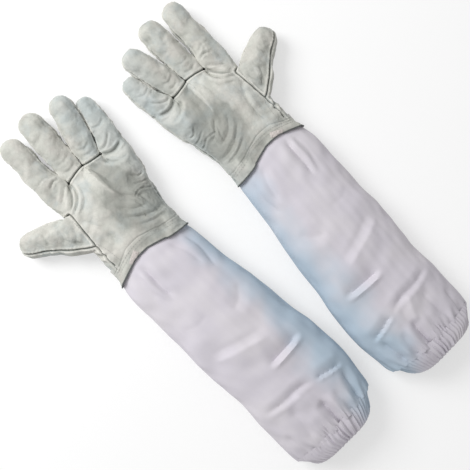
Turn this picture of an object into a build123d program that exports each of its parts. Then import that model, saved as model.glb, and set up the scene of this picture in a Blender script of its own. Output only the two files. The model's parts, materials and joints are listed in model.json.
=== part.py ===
"""A pair of long beekeeping gloves: leather hands sewn to canvas sleeves, lying palm up, side by side.

Millimetres. One glove is built in its own frame, and the other is its mirror image.
Glove frame: origin under the middle of the wrist at table level, +Y towards the fingertips, +Z up,
which is the palm side, and the thumb on the -X side.
Row frame: origin under the middle of the pair's box, +Y towards the fingertips, +X towards the right glove.
"""
import os
from math import atan2, cos, degrees, radians, sin

from build123d import *

# Lengths along the glove
sleeve_length = 297.0        # cuff seam to the end of the elasticated hem
palm_length = 117.5          # cuff seam to the knuckle line
cuff_seam = 5.5              # cuff seam ahead of the wrist's middle
band_width = 16.0            # leather hem round the wrist
casing_width = 20.0          # gathered hem that holds the elastic

# Heights of the glove as it lies
hem_height = 45.0
sleeve_height = 52.0
wrist_height = 43.0
palm_height = 39.0
knuckle_height = 31.0
side_seam_height = 16.0      # where the palm side meets the back of the hand
table_cut = 0.4              # depth pressed flat where the glove lies on the table

# Materials' thickness and clearances
leather = 1.3
canvas = 0.9
band_wall = 2.6              # leather folded double
casing_wall = 4.2            # canvas gathered over the elastic
casing_skin = 1.2
casing_end = 3.0
elastic_clearance = 0.2
hinge_gap = 0.6              # between two pieces that turn against each other
corner_share = 0.47          # corner radius of the tube's section, as a share of its height

# Fingers, from the thumb's side: knuckle points, then name: length, radius at the knuckle and at the tip
knuckle_x = (-41.5, -10.0, 15.0, 38.0, 67.5)
knuckle_drop = (0.0, -1.0, 0.5, 6.0, 12.0)
fingers = {
    "index": (82.0, 15.0, 13.2),
    "middle": (86.5, 12.0, 14.4),
    "ring": (79.5, 11.2, 13.2),
    "little": (63.0, 14.0, 11.4),
}

# Thumb
thumb_root_x = -33.5         # thumb crotch
thumb_root_drop = 30.0       # thumb crotch below the knuckle line
thumb_heel_x = -37.5         # lower end of the thumb's base seam
thumb_base_length = 47.0     # along the hand
thumb_lean = 54.4            # degrees from the hand's length
thumb_length = 73.5
thumb_base_radius = 21.6
thumb_tip_radius = 13.5
thumb_height = 30.0

# Small pieces
tab_width = 15.0
tab_length = 10.0
tab_thickness = 1.0
tab_centre_x = -18.5
tab_offset = 4.5             # clear of the cuff seam
wrist_elastic_width = 7.0
wrist_elastic_thickness = 0.9
wrist_elastic_height = 12.0  # how far it climbs the back of the hand's inside

# The pair
glove_spacing = 168.0        # between the two wrists' middles
stagger = 9.6                # the left glove lies this much further forward
toe_out = 2.3                # degrees that each glove is turned outwards

reach = 600.0                # longer than the whole glove, for cutting solids
end_margin = 14.0            # the tube surface runs on past its ends before it is trimmed

hem_end = cuff_seam - sleeve_length
knuckle_line = cuff_seam + palm_length
knuckles = [(x, knuckle_line - drop) for x, drop in zip(knuckle_x, knuckle_drop)]
thumb_root = (thumb_root_x, knuckle_line - thumb_root_drop)
thumb_heel = (thumb_heel_x, knuckle_line - thumb_root_drop - thumb_base_length)


def along_sleeve(share):
    """Place between the cuff seam, 0, and the hem's end, 1."""
    return cuff_seam - share * sleeve_length


def along_palm(share):
    """Place between the cuff seam, 0, and the knuckle line, 1."""
    return cuff_seam + share * palm_length


# Outline of the flattened tube: place along the glove, left and right edge, height
tube_outline = [
    (hem_end - end_margin, -51.0, 52.0, hem_height),
    (along_sleeve(0.96), -55.0, 57.0, hem_height),
    (along_sleeve(0.86), -57.5, 64.5, sleeve_height),
    (along_sleeve(0.70), -56.0, 66.0, sleeve_height),
    (along_sleeve(0.48), -55.0, 61.5, sleeve_height),
    (along_sleeve(0.24), -54.0, 54.5, 0.5 * (sleeve_height + wrist_height)),
    (along_sleeve(0.0), -51.5, 49.0, wrist_height),
    (along_palm(0.25), -46.0, 49.5, palm_height),
    (along_palm(0.55), -43.5, 56.0, palm_height),
    (along_palm(0.85), -41.5, 64.0, knuckle_height),
    (knuckle_line + end_margin, -41.5, 69.0, knuckle_height),
]


def tube_section(place, left, right, height, inset):
    """Rounded slice across the glove, drawn in by inset all round."""
    width = right - left - 2 * inset
    tall = height - 2 * inset
    middle = Vector((left + right) / 2, place, height / 2 - table_cut)
    across = Plane(origin=middle, x_dir=(1, 0, 0), z_dir=(0, 1, 0))
    return across * RectangleRounded(width, tall, corner_share * tall)


def above(height):
    """Everything above a level."""
    return Pos(0, 0, height) * Box(reach * 2, reach * 2, reach, align=(Align.CENTER, Align.CENTER, Align.MIN))


def between(start, end):
    """Slab across the glove."""
    slab = Box(reach, end - start, reach, align=(Align.CENTER, Align.MIN, Align.CENTER))
    return Pos(0, start, 0) * slab


def prism(points):
    """Upright prism on a closed outline."""
    outline = make_face(Polyline(*points, close=True))
    return Pos(0, 0, -reach / 2) * extrude(outline, reach)


def tube(inset):
    """Filled tube from hem to knuckles, flat where it lies on the table, drawn in by inset."""
    body = loft([tube_section(*station, inset) for station in tube_outline])
    return body & above(max(inset, 0.0))


def ring(outer, inner, start, end):
    """Wall between two depths of the tube, over a stretch of the glove."""
    return (tube(outer) - tube(inner)) & between(start, end)


def forward(angle):
    """Direction in the table's plane, in degrees from +Y towards -X."""
    return Vector(-sin(radians(angle)), cos(radians(angle)), 0)


def bullet(start, length, base_radius, tip_radius, wall):
    """Round-ended cone along +X, whose full size is at x = 0 and which starts at x = start."""
    centre = length - tip_radius
    slope = (tip_radius - base_radius) / centre
    start_radius = base_radius + slope * start - wall
    radius = tip_radius - wall
    shoulder = (centre, radius)
    crown = (centre + radius * cos(radians(45)), radius * sin(radians(45)))
    tip = (centre + radius, 0)
    edges = (
        Polyline(tip, (start, 0), (start, start_radius), shoulder)
        + ThreePointArc(shoulder, crown, tip)
    )
    return revolve(make_face(edges), Axis.X)


def finger_halves(first, second, length, base_radius, tip_radius):
    """Front and back of one finger, a hollow stall whose base stands off the knuckle line."""
    angle = degrees(atan2(second[1] - first[1], second[0] - first[0]))
    heading = forward(angle)
    middle = Vector((first[0] + second[0]) / 2, (first[1] + second[1]) / 2, max(base_radius, tip_radius))
    seat = Plane(origin=middle + heading * hinge_gap, x_dir=heading, z_dir=(0, 0, 1))
    stall = bullet(0, length, base_radius, tip_radius, 0)
    stall -= bullet(-2 * leather, length, base_radius, tip_radius, leather)
    return seat * (stall & above(0)), seat * (stall - above(0))


def thumb_halves():
    """Front and back of the thumb, a flattened stall cut off along its base seam."""
    middle_x = (thumb_root[0] + thumb_heel[0]) / 2
    middle_y = (thumb_root[1] + thumb_heel[1]) / 2
    heading = forward(thumb_lean)
    seat = Plane(origin=(middle_x, middle_y, thumb_height / 2), x_dir=heading, z_dir=(0, 0, 1))
    start = -2 * thumb_base_radius
    outer = seat * bullet(start, thumb_length, thumb_base_radius, thumb_tip_radius, 0)
    inner = seat * bullet(start, thumb_length, thumb_base_radius, thumb_tip_radius, leather)
    outer = (outer & above(0)) - above(thumb_height)
    inner = (inner & above(leather)) - above(thumb_height - leather)
    outside = prism([
        (thumb_root[0] - hinge_gap, reach),
        (thumb_root[0] - hinge_gap, thumb_root[1]),
        (thumb_heel[0] - hinge_gap, thumb_heel[1] + hinge_gap),
        (-reach, thumb_heel[1] + hinge_gap),
        (-reach, reach),
    ])
    stall = (outer - inner) & outside
    return stall & above(thumb_height / 2), stall - above(thumb_height / 2)


def thumb_notch():
    """Part of the tube that is left out where the thumb stands off it."""
    taper = degrees(atan2(thumb_base_radius - thumb_tip_radius, thumb_length - thumb_tip_radius))
    edge = forward(thumb_lean + taper) * reach
    root = (thumb_root[0], thumb_root[1] + hinge_gap)
    return prism([root, thumb_heel, (-reach, thumb_heel[1]), (root[0] + edge.X, root[1] + edge.Y)])


def hand_panels():
    """Palm side and back of the hand, open at the knuckles and at the thumb."""
    behind_knuckles = prism([(-reach, knuckles[0][1]), *knuckles, (reach, knuckles[-1][1]),
                             (reach, -reach), (-reach, -reach)])
    wall = ring(0, leather, cuff_seam + hinge_gap / 2 + band_width, reach)
    wall = (wall & behind_knuckles) - thumb_notch()
    return wall & above(side_seam_height), wall - above(side_seam_height)


def seam_tab():
    """Small leather patch over the end of the thumb seam, on the palm side of the wrist band."""
    start = cuff_seam + tab_offset
    patch = ring(-tab_thickness, 0, start, start + tab_length) & above(wrist_height / 2)
    return patch & Pos(tab_centre_x, 0, 0) * Box(tab_width, reach, reach)


def wrist_elastic():
    """Narrow elastic that lies inside the wrist band along the back of the hand."""
    outer = band_wall + elastic_clearance
    middle = cuff_seam + band_width / 2
    strip = ring(outer, outer + wrist_elastic_thickness,
                 middle - wrist_elastic_width / 2, middle + wrist_elastic_width / 2)
    return strip - above(wrist_elastic_height)


def hem_pieces():
    """Gathered casing at the sleeve's end, and the elastic sealed inside it."""
    inner_skin = casing_wall - casing_skin
    channel = ring(casing_skin, inner_skin, hem_end + casing_end, hem_end + casing_width - casing_end)
    casing = ring(0, casing_wall, hem_end, hem_end + casing_width) - channel
    margin = casing_end + elastic_clearance
    elastic = ring(casing_skin + elastic_clearance, inner_skin - elastic_clearance,
                   hem_end + margin, hem_end + casing_width - margin)
    return casing, elastic


def glove():
    """Every piece of one glove by name, in the glove's own frame."""
    pieces = {}
    pieces["palm_panel"], pieces["back_panel"] = hand_panels()
    for (name, sizes), first, second in zip(fingers.items(), knuckles, knuckles[1:]):
        pieces[f"{name}_front"], pieces[f"{name}_back"] = finger_halves(first, second, *sizes)
    pieces["thumb_front"], pieces["thumb_back"] = thumb_halves()
    band_start = cuff_seam + hinge_gap / 2
    pieces["wrist_band"] = ring(0, band_wall, band_start, band_start + band_width)
    pieces["wrist_elastic"] = wrist_elastic()
    pieces["seam_tab"] = seam_tab()
    pieces["sleeve_panel"] = ring(0, canvas, hem_end + casing_width, cuff_seam - hinge_gap / 2)
    pieces["hem_casing"], pieces["hem_elastic"] = hem_pieces()
    return pieces


def pair():
    """Both gloves in the row frame, with the name of each node."""
    nodes = {}
    for name, piece in glove().items():
        turned = Pos(-glove_spacing / 2, 0, 0) * Rot(0, 0, toe_out) * piece
        nodes[f"left_{name}"] = Pos(0, stagger / 2, 0) * turned
        nodes[f"right_{name}"] = Pos(0, -stagger / 2, 0) * mirror(turned, Plane.YZ)
    return nodes


def middle_of(nodes):
    """Middle of the pair's box in the table's plane."""
    box = Compound(children=[Compound(piece.solids()) for piece in nodes.values()]).bounding_box()
    return (box.min.X + box.max.X) / 2, (box.min.Y + box.max.Y) / 2


if __name__ == "__main__":
    os.makedirs("parts", exist_ok=True)
    all_nodes = pair()
    centre_x, centre_y = middle_of(all_nodes)
    for node_name, node in all_nodes.items():
        export_step(Pos(-centre_x, -centre_y, 0) * node, f"parts/{node_name}.step")
    print(f"middle of the pair before centring: {centre_x:.3f}, {centre_y:.3f}")
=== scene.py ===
"""Looks of a pair of long beekeeping gloves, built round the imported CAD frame.

Shapes are worked out in one glove's own frame, in millimetres: +Y towards the fingertips, +Z up, which is the
palm side, and the thumb on -X. They are then placed on the left glove and mirrored on to the right one.
"""
import json
import math

import bpy
import bmesh
import numpy as np
from mathutils import Matrix, Vector
from mathutils.bvhtree import BVHTree
from mathutils.kdtree import KDTree


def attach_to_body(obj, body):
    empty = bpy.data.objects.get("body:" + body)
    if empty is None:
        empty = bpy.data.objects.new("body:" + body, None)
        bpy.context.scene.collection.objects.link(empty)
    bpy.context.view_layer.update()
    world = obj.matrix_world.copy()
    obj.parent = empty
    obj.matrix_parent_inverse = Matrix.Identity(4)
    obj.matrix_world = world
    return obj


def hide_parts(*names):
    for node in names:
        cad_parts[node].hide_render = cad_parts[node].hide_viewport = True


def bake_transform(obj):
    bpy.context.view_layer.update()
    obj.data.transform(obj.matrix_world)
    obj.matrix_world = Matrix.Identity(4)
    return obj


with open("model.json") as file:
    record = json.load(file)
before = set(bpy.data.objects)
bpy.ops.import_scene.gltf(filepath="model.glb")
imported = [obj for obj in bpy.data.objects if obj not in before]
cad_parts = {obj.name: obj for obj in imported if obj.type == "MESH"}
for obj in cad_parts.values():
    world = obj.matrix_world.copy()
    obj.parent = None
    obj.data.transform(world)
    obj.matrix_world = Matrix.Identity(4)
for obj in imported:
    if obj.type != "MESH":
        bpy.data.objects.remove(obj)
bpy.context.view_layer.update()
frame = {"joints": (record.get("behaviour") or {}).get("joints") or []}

MM = 0.001
JOINTS = {joint["name"]: joint for joint in frame["joints"]}
CUFF_SEAM = 5.5              # the wrist joint's place in the glove's frame

# ---------------------------------------------------------------- placing the gloves


def glove_placement(side):
    """Function that takes points of the glove's frame, in mm, to the row's frame, in metres."""
    joint = JOINTS[f"{side}_wrist_bend"]
    axis = joint["axis"]
    turn = math.atan2(axis[1], axis[0])
    wrist = joint["pos_m"]
    sign = 1.0 if side == "left" else -1.0
    cos, sin = math.cos(turn), math.sin(turn)

    def place(points):
        points = np.asarray(points, float)
        x = points[..., 0] * sign
        y = points[..., 1] - CUFF_SEAM
        out = np.empty_like(points)
        out[..., 0] = (cos * x - sin * y) * MM + wrist[0]
        out[..., 1] = (sin * x + cos * y) * MM + wrist[1]
        out[..., 2] = points[..., 2] * MM
        return out

    return place


PLACE = {side: glove_placement(side) for side in ("left", "right")}


def smooth(edge0, edge1, value):
    """Smooth step from 0 at edge0 to 1 at edge1."""
    t = np.clip((np.asarray(value, float) - edge0) / (edge1 - edge0), 0.0, 1.0)
    return t * t * (3.0 - 2.0 * t)


def curve_through(points, count=60):
    """Points along a smooth curve through a few chosen ones."""
    points = np.asarray(points, float)
    if len(points) < 3:
        t = np.linspace(0, 1, count)[:, None]
        return points[0] * (1 - t) + points[-1] * t
    ends = np.vstack([2 * points[0] - points[1], points, 2 * points[-1] - points[-2]])
    spans = len(points) - 1
    out = []
    for i in range(spans):
        p0, p1, p2, p3 = ends[i:i + 4]
        steps = max(2, count // spans)
        for t in np.linspace(0, 1, steps, endpoint=(i == spans - 1)):
            out.append(0.5 * ((2 * p1) + (p2 - p0) * t + (2 * p0 - 5 * p1 + 4 * p2 - p3) * t * t
                              + (3 * p1 - p0 - 3 * p2 + p3) * t ** 3))
    return np.array(out)


def stations(table, at):
    """Smooth values of a small table (place, value, value, ...) at the places asked for."""
    table = np.asarray(table, float)
    at = np.asarray(at, float)
    out = []
    for column in range(1, table.shape[1]):
        xs, ys = table[:, 0], table[:, column]
        slope = np.gradient(ys, xs)
        i = np.clip(np.searchsorted(xs, at) - 1, 0, len(xs) - 2)
        h = xs[i + 1] - xs[i]
        t = np.clip((at - xs[i]) / h, 0, 1)
        out.append((2 * t ** 3 - 3 * t ** 2 + 1) * ys[i] + (t ** 3 - 2 * t ** 2 + t) * h * slope[i]
                   + (3 * t ** 2 - 2 * t ** 3) * ys[i + 1] + (t ** 3 - t ** 2) * h * slope[i + 1])
    return out


# ---------------------------------------------------------------- the leather hand

FRONT = 12                   # faces across one finger's front
SIDE = 6                     # faces up one finger's side
ROWS = 38                    # rows of faces from the cuff to the knuckles
BAND_ROWS = 5                # rows of the folded band at the wrist
FINGER_RINGS = 28
THUMB_RINGS = 28
THUMB_COLUMNS = 4            # columns from the hand's edge to the thumb's base seam
SIDE_HALF = 2.5              # half the height of the upright strip at a side

PALM_EDGES = [  # place along the glove, left edge, right edge, height
    (-4, -53, 49.5, 42), (8, -50, 48.8, 42), (16, -47.5, 48.5, 41.5), (33, -46, 49.5, 40), (50, -45, 53, 39),
    (66, -43.5, 57, 38), (82, -41.5, 62, 36.5), (99, -40.5, 65.5, 33.5), (115, -41.8, 67.5, 29), (126, -42, 68.5, 26)]
CUFF_LINE = [  # share across the hand, place along the glove
    (0.0, 0.0), (0.13, 5.0), (0.27, 10.0), (0.40, 11.5), (0.56, 9.5), (0.72, 3.0), (0.86, -1.5), (1.0, -2.0)]
KNUCKLES = [(-42.0, 119.0), (-10.0, 122.0), (14.8, 125.5), (38.0, 121.0), (68.0, 117.0)]
KNUCKLE_SAG = {"index": -3.0, "middle": -0.5, "ring": -2.5, "little": -3.0}
FINGERS = {  # centre line from the knuckle to the tip, then (share, half width, height, centre's level)
    "index": ([(-26, 120), (-26.8, 150), (-26.0, 175), (-27.6, 204.5)],
              [(0, 16.2, 26, 13), (0.15, 15.6, 25.5, 13), (0.4, 14.4, 25, 13), (0.7, 13.8, 24, 13), (1, 12.6, 22, 12.5)]),
    "middle": ([(2.4, 123.5), (4.6, 154), (7.0, 180), (8.6, 211.0)],
               [(0, 12.6, 24, 13), (0.15, 13.6, 25, 13), (0.4, 14.4, 26, 13.5), (0.7, 14.6, 26, 13.5), (1, 12.6, 23, 13)]),
    "ring": ([(26.4, 123), (34.2, 150), (42.2, 176), (48.2, 200.0)],
             [(0, 12.2, 24, 13), (0.15, 13.4, 25, 14), (0.4, 14.2, 26, 15), (0.7, 13.8, 26, 15.5), (1, 12.0, 23, 15.5)]),
    "little": ([(53.2, 119), (59.4, 140), (64.0, 160), (67.0, 180.5)],
               [(0, 15.4, 24, 12.5), (0.15, 14.6, 24, 12), (0.4, 12.9, 22, 11.5), (0.7, 11.4, 20.5, 11), (1, 9.8, 19, 10.5)]),
}
SHORTER = {  # how much less some fingers reach on one glove of the pair
    "left": {}, "right": {"middle": 5.0, "ring": 7.5, "little": 9.0}}
THUMB_LINE = [(-37, 74), (-52, 82), (-68, 93.5), (-85, 103.5), (-98.5, 110.5)]
THUMB_SHAPE = [  # share, half width, height, centre's level
    (0, 23.5, 31, 16), (0.25, 21.0, 29.5, 15.5), (0.5, 17.5, 27.5, 15), (0.75, 15.0, 26, 14), (1, 13.0, 23, 13)]
THUMB_HEEL_ROW, THUMB_ROOT_ROW = 50.0, 95.0


def rounded(share, power):
    """Height of a rounded arch over share, from -1 to 1."""
    return (1 - np.clip(np.abs(share), 0, 1) ** power) ** (1 / 2.2)


class Skin:
    """Quad skin that is built up ring by ring."""

    def __init__(self):
        self.points, self.faces, self.tags = [], [], []

    def add(self, point):
        self.points.append(np.asarray(point, float))
        return len(self.points) - 1

    def quad(self, a, b, c, d, tag):
        self.faces.append((a, b, c, d))
        self.tags.append(tag)


def knuckle_columns():
    """Places of the front's columns on the knuckle line, as (x, y), with each finger's share of its arch."""
    columns, shares = [], []
    for i, name in enumerate(FINGERS):
        (x0, y0), (x1, y1) = KNUCKLES[i], KNUCKLES[i + 1]
        for k in range(FRONT + (i == 3)):
            angle = math.pi * k / FRONT
            t = (1 - math.cos(angle)) / 2
            columns.append((x0 + (x1 - x0) * t, y0 + (y1 - y0) * t + KNUCKLE_SAG[name] * math.sin(angle)))
            shares.append((i, angle))
    return np.array(columns), shares


def finger_line(side, name):
    """Centre line of one finger in plan, from its knuckle to its tip."""
    line = np.array(FINGERS[name][0], float)
    back = line[0] - line[-1]
    back *= SHORTER[side].get(name, 0.0) / np.linalg.norm(back)
    shares = np.linspace(0, 1, len(line))[:, None]
    return line + back * shares


def hand_skin(side):
    """Closed leather hand with its fingers and thumb, as a quad skin whose faces are tagged by piece."""
    skin = Skin()
    columns, shares = knuckle_columns()
    count = len(columns)
    across = (columns[:, 0] - columns[0, 0]) / (columns[-1, 0] - columns[0, 0])
    cuff = np.interp(across, *zip(*CUFF_LINE))
    cuff = np.convolve(np.pad(cuff, 3, mode="edge"), np.ones(7) / 7, mode="valid")
    crotch = 14.0
    front, back, right_side, left_side = [], [], [], []
    for j in range(ROWS + 1):
        s = j / ROWS
        y = cuff + (columns[:, 1] - cuff) * s
        left, right, height = stations(PALM_EDGES, y)
        x = left + (right - left) * across
        x = x + (columns[:, 0] - x) * smooth(0.8, 1.0, s)
        edge = height * 0.42
        top = edge + SIDE_HALF + (height - edge - SIDE_HALF) * rounded(2 * across - 1, 2.5)
        low = edge - SIDE_HALF - (edge - SIDE_HALF - 0.8) * rounded(2 * across - 1, 5.0)
        arch = np.array([math.sin(angle) for _, angle in shares])
        outer = np.array([edge[0] if (i == 0 and a < 1.5) or (i == 3 and a > 1.6) else crotch for i, a in shares])
        arch_top = outer + SIDE_HALF + (25.5 - outer - SIDE_HALF) * arch ** 0.8
        arch_low = outer - SIDE_HALF - (outer - SIDE_HALF - 0.8) * arch ** 0.5
        w = smooth(0.45, 1.0, s) ** 7
        top = top + (arch_top - top) * w
        low = low + (arch_low - low) * w
        front.append([skin.add((x[c], y[c], top[c])) for c in range(count)])
        back.append([skin.add((x[c], y[c], low[c])) for c in range(count)])
        for store, c in ((right_side, count - 1), (left_side, 0)):
            chain = []
            for k in range(1, SIDE):
                t = k / SIDE
                chain.append(skin.add((x[c], y[c], top[c] + (low[c] - top[c]) * t)))
            store.append(chain)

    rows_y = [skin.points[front[j][THUMB_COLUMNS]][1] for j in range(ROWS + 1)]
    j0 = int(np.argmin(np.abs(np.array(rows_y) - THUMB_HEEL_ROW)))
    j1 = int(np.argmin(np.abs(np.array(rows_y) - THUMB_ROOT_ROW)))
    for j in range(ROWS):
        for c in range(count - 1):
            if j0 <= j < j1 and c < THUMB_COLUMNS:
                continue
            front_tag = "wrist_band" if j < BAND_ROWS else "palm_panel"
            if c < THUMB_COLUMNS and BAND_ROWS <= j < j0:
                front_tag = "back_panel"
            skin.quad(front[j][c], front[j][c + 1], front[j + 1][c + 1], front[j + 1][c], front_tag)
            back_tag = "wrist_band" if j < BAND_ROWS else "back_panel"
            skin.quad(back[j][c + 1], back[j][c], back[j + 1][c], back[j + 1][c + 1], back_tag)
        chain = [front[j][-1], *right_side[j], back[j][-1]]
        above = [front[j + 1][-1], *right_side[j + 1], back[j + 1][-1]]
        for k in range(SIDE):
            skin.quad(chain[k], chain[k + 1], above[k + 1], above[k], back_tag)
        if not j0 <= j < j1:
            chain = [front[j][0], *left_side[j], back[j][0]]
            above = [front[j + 1][0], *left_side[j + 1], back[j + 1][0]]
            for k in range(SIDE):
                skin.quad(chain[k + 1], chain[k], above[k], above[k + 1], back_tag)

    webs = {0: left_side[ROWS], 4: right_side[ROWS]}
    for i in (1, 2, 3):
        c = i * FRONT
        top, low = skin.points[front[ROWS][c]], skin.points[back[ROWS][c]]
        webs[i] = [skin.add(top + (low - top) * k / SIDE - np.array([0, 1.5 * math.sin(math.pi * k / SIDE), 0]))
                   for k in range(1, SIDE)]
    for i, name in enumerate(FINGERS):
        base = front[ROWS][i * FRONT:(i + 1) * FRONT + 1] + webs[i + 1]
        base += back[ROWS][i * FRONT:(i + 1) * FRONT + 1][::-1] + webs[i][::-1]
        tags = [f"{name}_front"] * FRONT + [f"{name}_back"] * (2 * SIDE + FRONT)
        finger_angles = []
        for k in range(FRONT + 1):
            finger_angles.append((-math.cos(math.pi * k / FRONT), 1, math.sin(math.pi * k / FRONT)))
        finger_angles += [(1, 1 - 2 * k / SIDE, 0) for k in range(1, SIDE)]
        for k in range(FRONT + 1):
            finger_angles.append((math.cos(math.pi * k / FRONT), -1, math.sin(math.pi * k / FRONT)))
        finger_angles += [(-1, -1 + 2 * k / SIDE, 0) for k in range(1, SIDE)]
        line = curve_through(finger_line(side, name), 120)
        grow_tube(skin, base, finger_angles, tags, line, FINGERS[name][1], FINGER_RINGS, 0.22, 2.6)

    loop = [front[j][THUMB_COLUMNS] for j in range(j0, j1 + 1)]
    loop += [front[j1][c] for c in range(THUMB_COLUMNS - 1, -1, -1)] + left_side[j1]
    loop += [back[j1][c] for c in range(THUMB_COLUMNS + 1)]
    loop += [back[j][THUMB_COLUMNS] for j in range(j1 - 1, j0 - 1, -1)]
    loop += [back[j0][c] for c in range(THUMB_COLUMNS - 1, -1, -1)] + left_side[j0][::-1]
    loop += [front[j0][c] for c in range(THUMB_COLUMNS)]
    rows = j1 - j0
    corner = len(loop)
    thumb_angles, tags = [], []
    for k in range(corner):
        angle = math.pi / 2 + 2 * math.pi * (rows / 2 - k) / corner
        lateral, up = -math.cos(angle), math.sin(angle)
        thumb_angles.append((-lateral, 0, up))
        tags.append("thumb_front" if k < rows + 6 else "thumb_back")
    loop_points = np.array([skin.points[v] for v in loop])
    grow_thumb(skin, loop, thumb_angles, tags, loop_points)
    return skin


def grow_tube(skin, base, profile, tags, line, shape, rings, settle, cap_power):
    """Tube with a round tip that grows out of a ring of the skin along a line on the table."""
    lengths = np.concatenate([[0], np.cumsum(np.linalg.norm(np.diff(line, axis=0), axis=1))])
    total = lengths[-1]
    base_points = np.array([skin.points[v] for v in base])
    start = line[0]
    before = base
    tip_reach = stations(shape, [1.0])[0][0]
    shares = np.linspace(0, 1, rings + 1)[1:]
    shares = 1 - (1 - shares) ** 1.15
    for n, share in enumerate(shares):
        share = min(share, 0.9985)
        at = share * total
        centre = np.array([np.interp(at, lengths, line[:, 0]), np.interp(at, lengths, line[:, 1])])
        ahead = np.array([np.interp(min(at + 4, total), lengths, line[:, k])
                          - np.interp(max(at - 4, 0), lengths, line[:, k]) for k in (0, 1)])
        ahead /= np.linalg.norm(ahead)
        sideways = np.array([ahead[1], -ahead[0]])
        half, height, level = (v[0] for v in stations(shape, [share]))
        into_cap = max(0.0, (at - (total - tip_reach * 1.15)) / (tip_reach * 1.15))
        close = max(1e-3, (1 - into_cap ** cap_power)) ** (1 / 2.1)
        half *= close
        rise = height / 2 * close
        ring = []
        w = float(smooth(0, settle, share))
        shift = np.array([*(centre - start), 0.0])
        for k, (x, strip, z) in enumerate(profile):
            if z == 0 and abs(x) == 1:
                tall = strip * SIDE_HALF * close
            else:
                power = 0.95 if strip > 0 else 0.62
                tall = strip * (SIDE_HALF * close + (rise - SIDE_HALF * close) * z ** power)
            point = np.array([*(centre + sideways * x * half), level + tall])
            ring.append(skin.add((base_points[k] + shift) * (1 - w) + point * w))
        count = len(ring)
        for k in range(count):
            skin.quad(before[k], before[(k + 1) % count], ring[(k + 1) % count], ring[k], tags[k])
        before = ring
    tip = skin.add(np.mean([skin.points[v] for v in before], axis=0))
    for k in range(0, len(before)):
        skin.faces.append((before[k], before[(k + 1) % len(before)], tip))
        skin.tags.append(tags[k])


def grow_thumb(skin, loop, profile, tags, base_points):
    """Wing thumb that grows out of the opening at the hand's edge."""
    line = curve_through(THUMB_LINE, 120)
    lengths = np.concatenate([[0], np.cumsum(np.linalg.norm(np.diff(line, axis=0), axis=1))])
    total = lengths[-1]
    before = loop
    rings = THUMB_RINGS
    tip_reach = THUMB_SHAPE[-1][1]
    for n in range(1, rings + 1):
        share = min(n / rings, 0.9985)
        share = 1 - (1 - share) ** 1.15
        at = share * total
        centre = np.array([np.interp(at, lengths, line[:, k]) for k in (0, 1)])
        ahead = np.array([np.interp(min(at + 5, total), lengths, line[:, k])
                          - np.interp(max(at - 5, 0), lengths, line[:, k]) for k in (0, 1)])
        ahead /= np.linalg.norm(ahead)
        sideways = np.array([ahead[1], -ahead[0]])
        half, height, level = (v[0] for v in stations(THUMB_SHAPE, [share]))
        into_cap = max(0.0, (at - (total - tip_reach * 1.2)) / (tip_reach * 1.2))
        close = max(1e-3, (1 - into_cap ** 2.5)) ** (1 / 2.1)
        w = float(smooth(0, 0.42, share)) ** 0.8
        shift = np.array([*(centre - line[0]), 0.0]) * 0.9
        ring = []
        for k, (x, _, z) in enumerate(profile):
            tall = height / 2 * close * math.copysign(abs(z) ** (0.95 if z > 0 else 0.7), z)
            point = np.array([*(centre + sideways * x * half * close), level + tall])
            ring.append(skin.add((base_points[k] + shift) * (1 - w) + point * w))
        count = len(ring)
        for k in range(count):
            skin.quad(before[k], before[(k + 1) % count], ring[(k + 1) % count], ring[k], tags[k])
        before = ring
    tip = skin.add(np.mean([skin.points[v] for v in before], axis=0))
    for k in range(len(before)):
        skin.faces.append((before[k], before[(k + 1) % len(before)], tip))
        skin.tags.append(tags[k])


def mesh_from(name, points, faces):
    mesh = bpy.data.meshes.new(name)
    mesh.from_pydata([tuple(p) for p in points], [], faces)
    mesh.update()
    piece = bpy.data.objects.new(name, mesh)
    bpy.context.collection.objects.link(piece)
    return piece


def active(piece):
    bpy.ops.object.select_all(action="DESELECT")
    piece.select_set(True)
    bpy.context.view_layer.objects.active = piece


def apply_modifier(piece, name, kind, **settings):
    active(piece)
    modifier = piece.modifiers.new(name, kind)
    for key, value in settings.items():
        setattr(modifier, key, value)
    bpy.ops.object.modifier_apply(modifier=modifier.name)


def points_of(mesh):
    out = np.empty(len(mesh.vertices) * 3)
    mesh.vertices.foreach_get("co", out)
    return out.reshape(-1, 3)


def normals_of(mesh):
    out = np.empty(len(mesh.vertices) * 3)
    mesh.vertices.foreach_get("normal", out)
    return out.reshape(-1, 3)


def set_points(mesh, points):
    mesh.vertices.foreach_set("co", np.asarray(points, float).ravel())
    mesh.update()


def distance_to(path, points):
    """Distance in plan from each point to a path, the share of the path it is nearest to, and which side it is on."""
    a, b = path[:-1, :2], path[1:, :2]
    lengths = np.linalg.norm(b - a, axis=1)
    along = np.concatenate([[0], np.cumsum(lengths)])
    best = np.full(len(points), 1e9)
    share = np.zeros(len(points))
    side = np.zeros(len(points))
    for i in range(len(a)):
        d = b[i] - a[i]
        t = np.clip(((points[:, :2] - a[i]) @ d) / (lengths[i] ** 2 + 1e-9), 0, 1)
        off = points[:, :2] - (a[i] + t[:, None] * d)
        dist = np.hypot(off[:, 0], off[:, 1])
        near = dist < best
        best[near] = dist[near]
        share[near] = ((along[i] + t * lengths[i]) / along[-1])[near]
        side[near] = np.sign(d[0] * off[:, 1] - d[1] * off[:, 0])[near]
    return best, share, side


def fold(points, facing, path, depth, near, far, lift=0.35, taper=(0.25, 0.25)):
    """Height change of a fold along a path: a valley, or with a depth below 0 a ridge, that fades at its ends.

    near and far are its widths to the left and to the right of the path's direction.
    """
    dist, share, hand = distance_to(curve_through(path), points)
    fade = smooth(0, taper[0], share) * smooth(0, taper[1], 1 - share)
    reach = dist / np.where(hand > 0, near, far)
    line = -np.exp(-1.7 * reach ** 1.35)
    shoulder = lift * np.exp(-((reach - 1.9) / 0.8) ** 2)
    return depth * fade * (line + shoulder) * facing


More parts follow.
